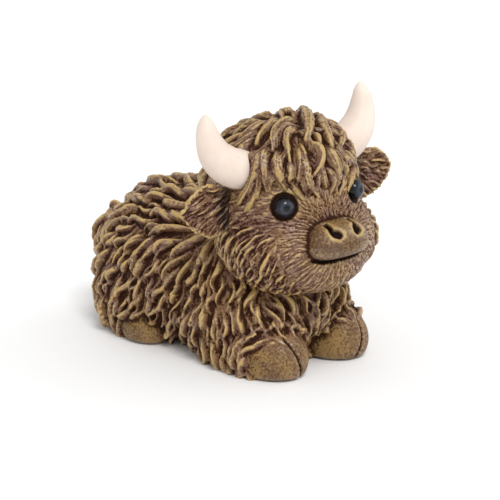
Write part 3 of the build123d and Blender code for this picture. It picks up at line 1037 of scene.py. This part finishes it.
forelock = new_piece("forelock_casting", [star_skin(hair_centre, hair_half, hair_far, 150, 90)], head_place)
cast(forelock, 0.45, 3)
points = column(forelock.data, "co")
local = head_local(points)
sunk = np.clip((eye_clear - from_eyes(local)) / 2, 0, 1)[:, None]
put_back(forelock.data, points - column(forelock.data, "normal") * cap_sink * sunk)
hair_skin = surface_of(forelock)
crown_locks = [
    traced_lock([hair_skin, head_skin], np.reshape(line, (-1, 2)), girth, rise)
    for girth, rise, *line in front_locks_px
]
for root in spread_roots(forelock, crown_way, crown_seen, 2500, crown_seed + 1, 0.85):
    girth = dice.uniform(1.0, 1.4)
    sway = dice.uniform(-0.5, 0.5)
    crown_locks.append(laid_lock(hair_skin, root, crown_way, 11.0, girth, sway, under_lift))
crown_roots = spread_roots(forelock, crown_way, crown_hidden, 2500, crown_seed, 1.15)
crown_locks += lay_locks(hair_skin, crown_roots, crown_way, 15.0, 1.8, (0.9, 1.2), 0.5, crown_lift)
grow(forelock, "crown_locks", crown_locks, flatness=0.85, seed=crown_seed, grain=0.36)
finish_hair(forelock, strand_lines(forelock.data, crown_locks, 0.7), 0.26, wash_and_shade=0.12)
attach(forelock, "root")
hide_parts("forelock")

# Ears
# Two cupped leaves, each cast apart with a root in its socket. Fine hair fans out from the root to a
# shaggy rim, and painted shade darkens each ear round its root.
ear_root = (13.0, -7.5, 6.5)
ear_slim = 0.5
ear_seed = 30
ear_lift = (-0.8, -0.3, 0.0, 0.2, 0.1)
ear_root_clear = 8
for side, label in ((-1, "right"), (1, "left")):
    root_point = head_place @ Vector(on_side(side, ear_root))
    fan_point = root_point + Vector((0, 0, 8))

    def ear_way(point, out):
        """The ear's hair fans out and down from above its root."""
        return Vector(point) - fan_point

    def ear_allowed(point, out):
        """Whether the ear's hair may grow here: past the root in its socket."""
        return (point - root_point).length > ear_root_clear

    ear = cad_copy(f"ear_{label}_casting", f"ear_{label}")
    cast(ear, 0.4, 6)
    put_back(ear.data, column(ear.data, "co") - column(ear.data, "normal") * ear_slim)
    ear_roots = spread_roots(ear, ear_way, ear_allowed, 3000, ear_seed + side, 0.52)
    ear_locks = lay_locks(surface_of(ear), ear_roots, ear_way, 6.0, 0.7, (0.85, 1.2), 0.3, ear_lift)
    grow(ear, f"ear_{label}_locks", ear_locks, flatness=0.6, seed=side + 5, grain=0.32)
    inner = np.linalg.norm(column(ear.data, "co") - np.array(root_point), axis=1)
    # Painted shade round the root, where the ear meets the head.
    shade = 0.85 * np.clip((14.5 - inner) / 3.0, 0, 1)
    finish_hair(ear, strand_lines(ear.data, ear_locks, 0.6), 0.2, wash_and_shade=shade)
    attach(ear, "root")
    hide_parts(f"ear_{label}")

# Horns
# Smooth resin horns painted matt cream in two close tones, with a few pinholes from casting. Each has a
# tapered root that sits in the hair.
horn_root = (11.5, -9.9, 15.0)
horn_size = (15.7, 2.0, 19.0)
horn_path_shares = (
    (0, 0), (0.33, 0.1), (0.62, 0.2), (0.85, 0.38), (0.96, 0.58),
    (1.0, 0.78), (0.995, 0.92), (0.985, 1.0), (0.98, 1.03),
)
horn_girths = (4.6, 5.6, 5.6, 5.0, 4.1, 3.1, 2.1, 1.1, 0.3)
horn_paint, tree, shader = new_paint("horn_paint")
place = add(tree, "ShaderNodeTexCoord")
cloud = add(tree, "ShaderNodeTexNoise", {"Scale": 120.0})
pits = add(tree, "ShaderNodeTexVoronoi", {"Scale": 330.0})
warm = add(tree, "ShaderNodeMapRange", {"From Min": 0.35, "From Max": 0.65})
dots = add(tree, "ShaderNodeMapRange", {"From Min": 0.07, "From Max": 0.03, "To Max": 0.7})
cream = add(tree, "ShaderNodeMix", {6: srgb(226, 206, 192), 7: srgb(233, 217, 203)}, data_type="RGBA")
holes = add(tree, "ShaderNodeMix", {7: srgb(120, 92, 72)}, data_type="RGBA")
wire(place, "Object", cloud, "Vector")
wire(place, "Object", pits, "Vector")
wire(cloud, "Fac", warm, "Value")
wire(warm, "Result", cream, "Factor")
wire(pits, "Distance", dots, "Value")
wire(dots, "Result", holes, "Factor")
wire(cream, 2, holes, 6)
wire(holes, 2, shader, "Base Color")
shader.inputs["Roughness"].default_value = 0.5
for side, label in ((-1, "right"), (1, "left")):
    horn_line = []
    for (out_share, up_share), girth in zip(horn_path_shares, horn_girths):
        local = Vector((
            side * (horn_root[0] + out_share * horn_size[0]),
            horn_root[1] + up_share * horn_size[1],
            horn_root[2] + up_share * horn_size[2],
        ))
        horn_line.append((head_place @ local, head_place.to_3x3() @ Vector((0, -1, 0)), girth))
    horn = lock_paths(f"horn_{label}_casting", [horn_line])
    run_tree(horn, lock_tree_made, flatness=1.0, sides=40, waver=0.0, material=horn_paint)
    horn.data.shade_smooth()
    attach(horn, "root")
    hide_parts(f"horn_{label}")

# Eyes
# Round beads on shanks, set in the head: near black, with a grey-blue ring like glass round the pupil,
# under a hard gloss.
gaze = (0.35, -1, 0.1)
bead_paint, tree, shader = new_paint("bead_gloss")
ring = add(tree, "ShaderNodeAttribute", attribute_name="off_axis")
ramp = add(tree, "ShaderNodeValToRGB")
ramp.color_ramp.elements[0].color = srgb(14, 14, 18)
ramp.color_ramp.elements[1].color = srgb(8, 8, 10)
for position, colour in (
    (0.14, (14, 14, 18)),
    (0.3, (58, 62, 74)),
    (0.45, (36, 39, 50)),
    (0.62, (12, 12, 16)),
):
    ramp.color_ramp.elements.new(position).color = srgb(*colour)
wire(ring, "Fac", ramp, "Fac")
wire(ramp, "Color", shader, "Base Color")
shader.inputs["Roughness"].default_value = 0.06
shader.inputs["Specular IOR Level"].default_value = 0.3
for side, label in ((-1, "right"), (1, "left")):
    shape = bmesh.new()
    bmesh.ops.create_uvsphere(shape, u_segments=64, v_segments=40, radius=eye_radius * MM)
    centre = head_place @ Vector(on_side(side, eye_centre))
    look = (head_place.to_3x3() @ Vector(on_side(side, gaze))).normalized()
    mesh = bpy.data.meshes.new(f"eye_{label}_bead")
    shape.to_mesh(mesh)
    shape.free()
    store(mesh, "off_axis", [v.co.normalized().angle(look) / (math.pi / 2) for v in mesh.vertices])
    mesh.transform(Matrix.Translation(centre * MM))
    mesh.shade_smooth()
    mesh.materials.append(bead_paint)
    bead = in_scene(mesh.name, mesh)
    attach(bead, "root")
    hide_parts(f"eye_{label}")

# Neck dowel
# A short beech dowel glued into both castings, which joins the head to the body. It stays the packed
# piece and only gets its wood.
wood, tree, shader = new_paint("beech")
place = add(tree, "ShaderNodeTexCoord")
stretch = add(tree, "ShaderNodeMapping", {"Scale": (900.0, 900.0, 60.0)})
grain = add(tree, "ShaderNodeTexNoise")
tone = add(tree, "ShaderNodeMix", {6: srgb(196, 158, 112), 7: srgb(170, 128, 84)}, data_type="RGBA")
wire(place, "Object", stretch, "Vector")
wire(stretch, "Vector", grain, "Vector")
wire(grain, "Fac", tone, "Factor")
wire(tone, 2, shader, "Base Color")
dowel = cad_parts["neck_dowel"]
dowel.data.materials.clear()
dowel.data.materials.append(wood)

# Light, floor and camera
# A plain pale floor under a white world with two soft lamps, seen from where the photograph's camera
# stood.
camera = in_scene("photo_camera", bpy.data.cameras.new("photo_camera"))
camera.data.sensor_width = 36
camera.data.lens = photo_focal * camera.data.sensor_width / photo_side
camera.data.clip_start = 0.01
camera_turn = Matrix((right_way, up_way, back_way)).transposed().to_4x4()
camera.matrix_world = Matrix.Translation(eye_point) @ camera_turn
bpy.context.scene.camera = camera

floor_half = 3.0
corners = [(x * floor_half, y * floor_half, 0) for x, y in ((-1, -1), (1, -1), (1, 1), (-1, 1))]
floor_mesh = bpy.data.meshes.new("floor")
floor_mesh.from_pydata(corners, [], [(0, 1, 2, 3)])
floor = in_scene("floor", floor_mesh)
floor_paint, tree, shader = new_paint("pale_floor")
shader.inputs["Base Color"].default_value = (0.9, 0.9, 0.9, 1)
shader.inputs["Roughness"].default_value = 0.9
floor_mesh.materials.append(floor_paint)

world = bpy.data.worlds.new("studio")
world.use_nodes = True
backdrop = world.node_tree.nodes["Background"]
backdrop.inputs["Color"].default_value = (1, 1, 1, 1)
backdrop.inputs["Strength"].default_value = 0.75
bpy.context.scene.world = world
for name, way, strength, angle in (
    ("key", (-0.35, -0.75, 1.1), 1.6, 25),
    ("fill", (0.9, -0.5, 0.5), 0.5, 60),
):
    lamp = in_scene(name, bpy.data.lights.new(name, "SUN"))
    lamp.data.energy = strength
    lamp.data.angle = math.radians(angle)
    lamp.rotation_euler = Vector(way).to_track_quat("Z", "Y").to_euler()
bpy.context.scene.view_settings.view_transform = "Standard"
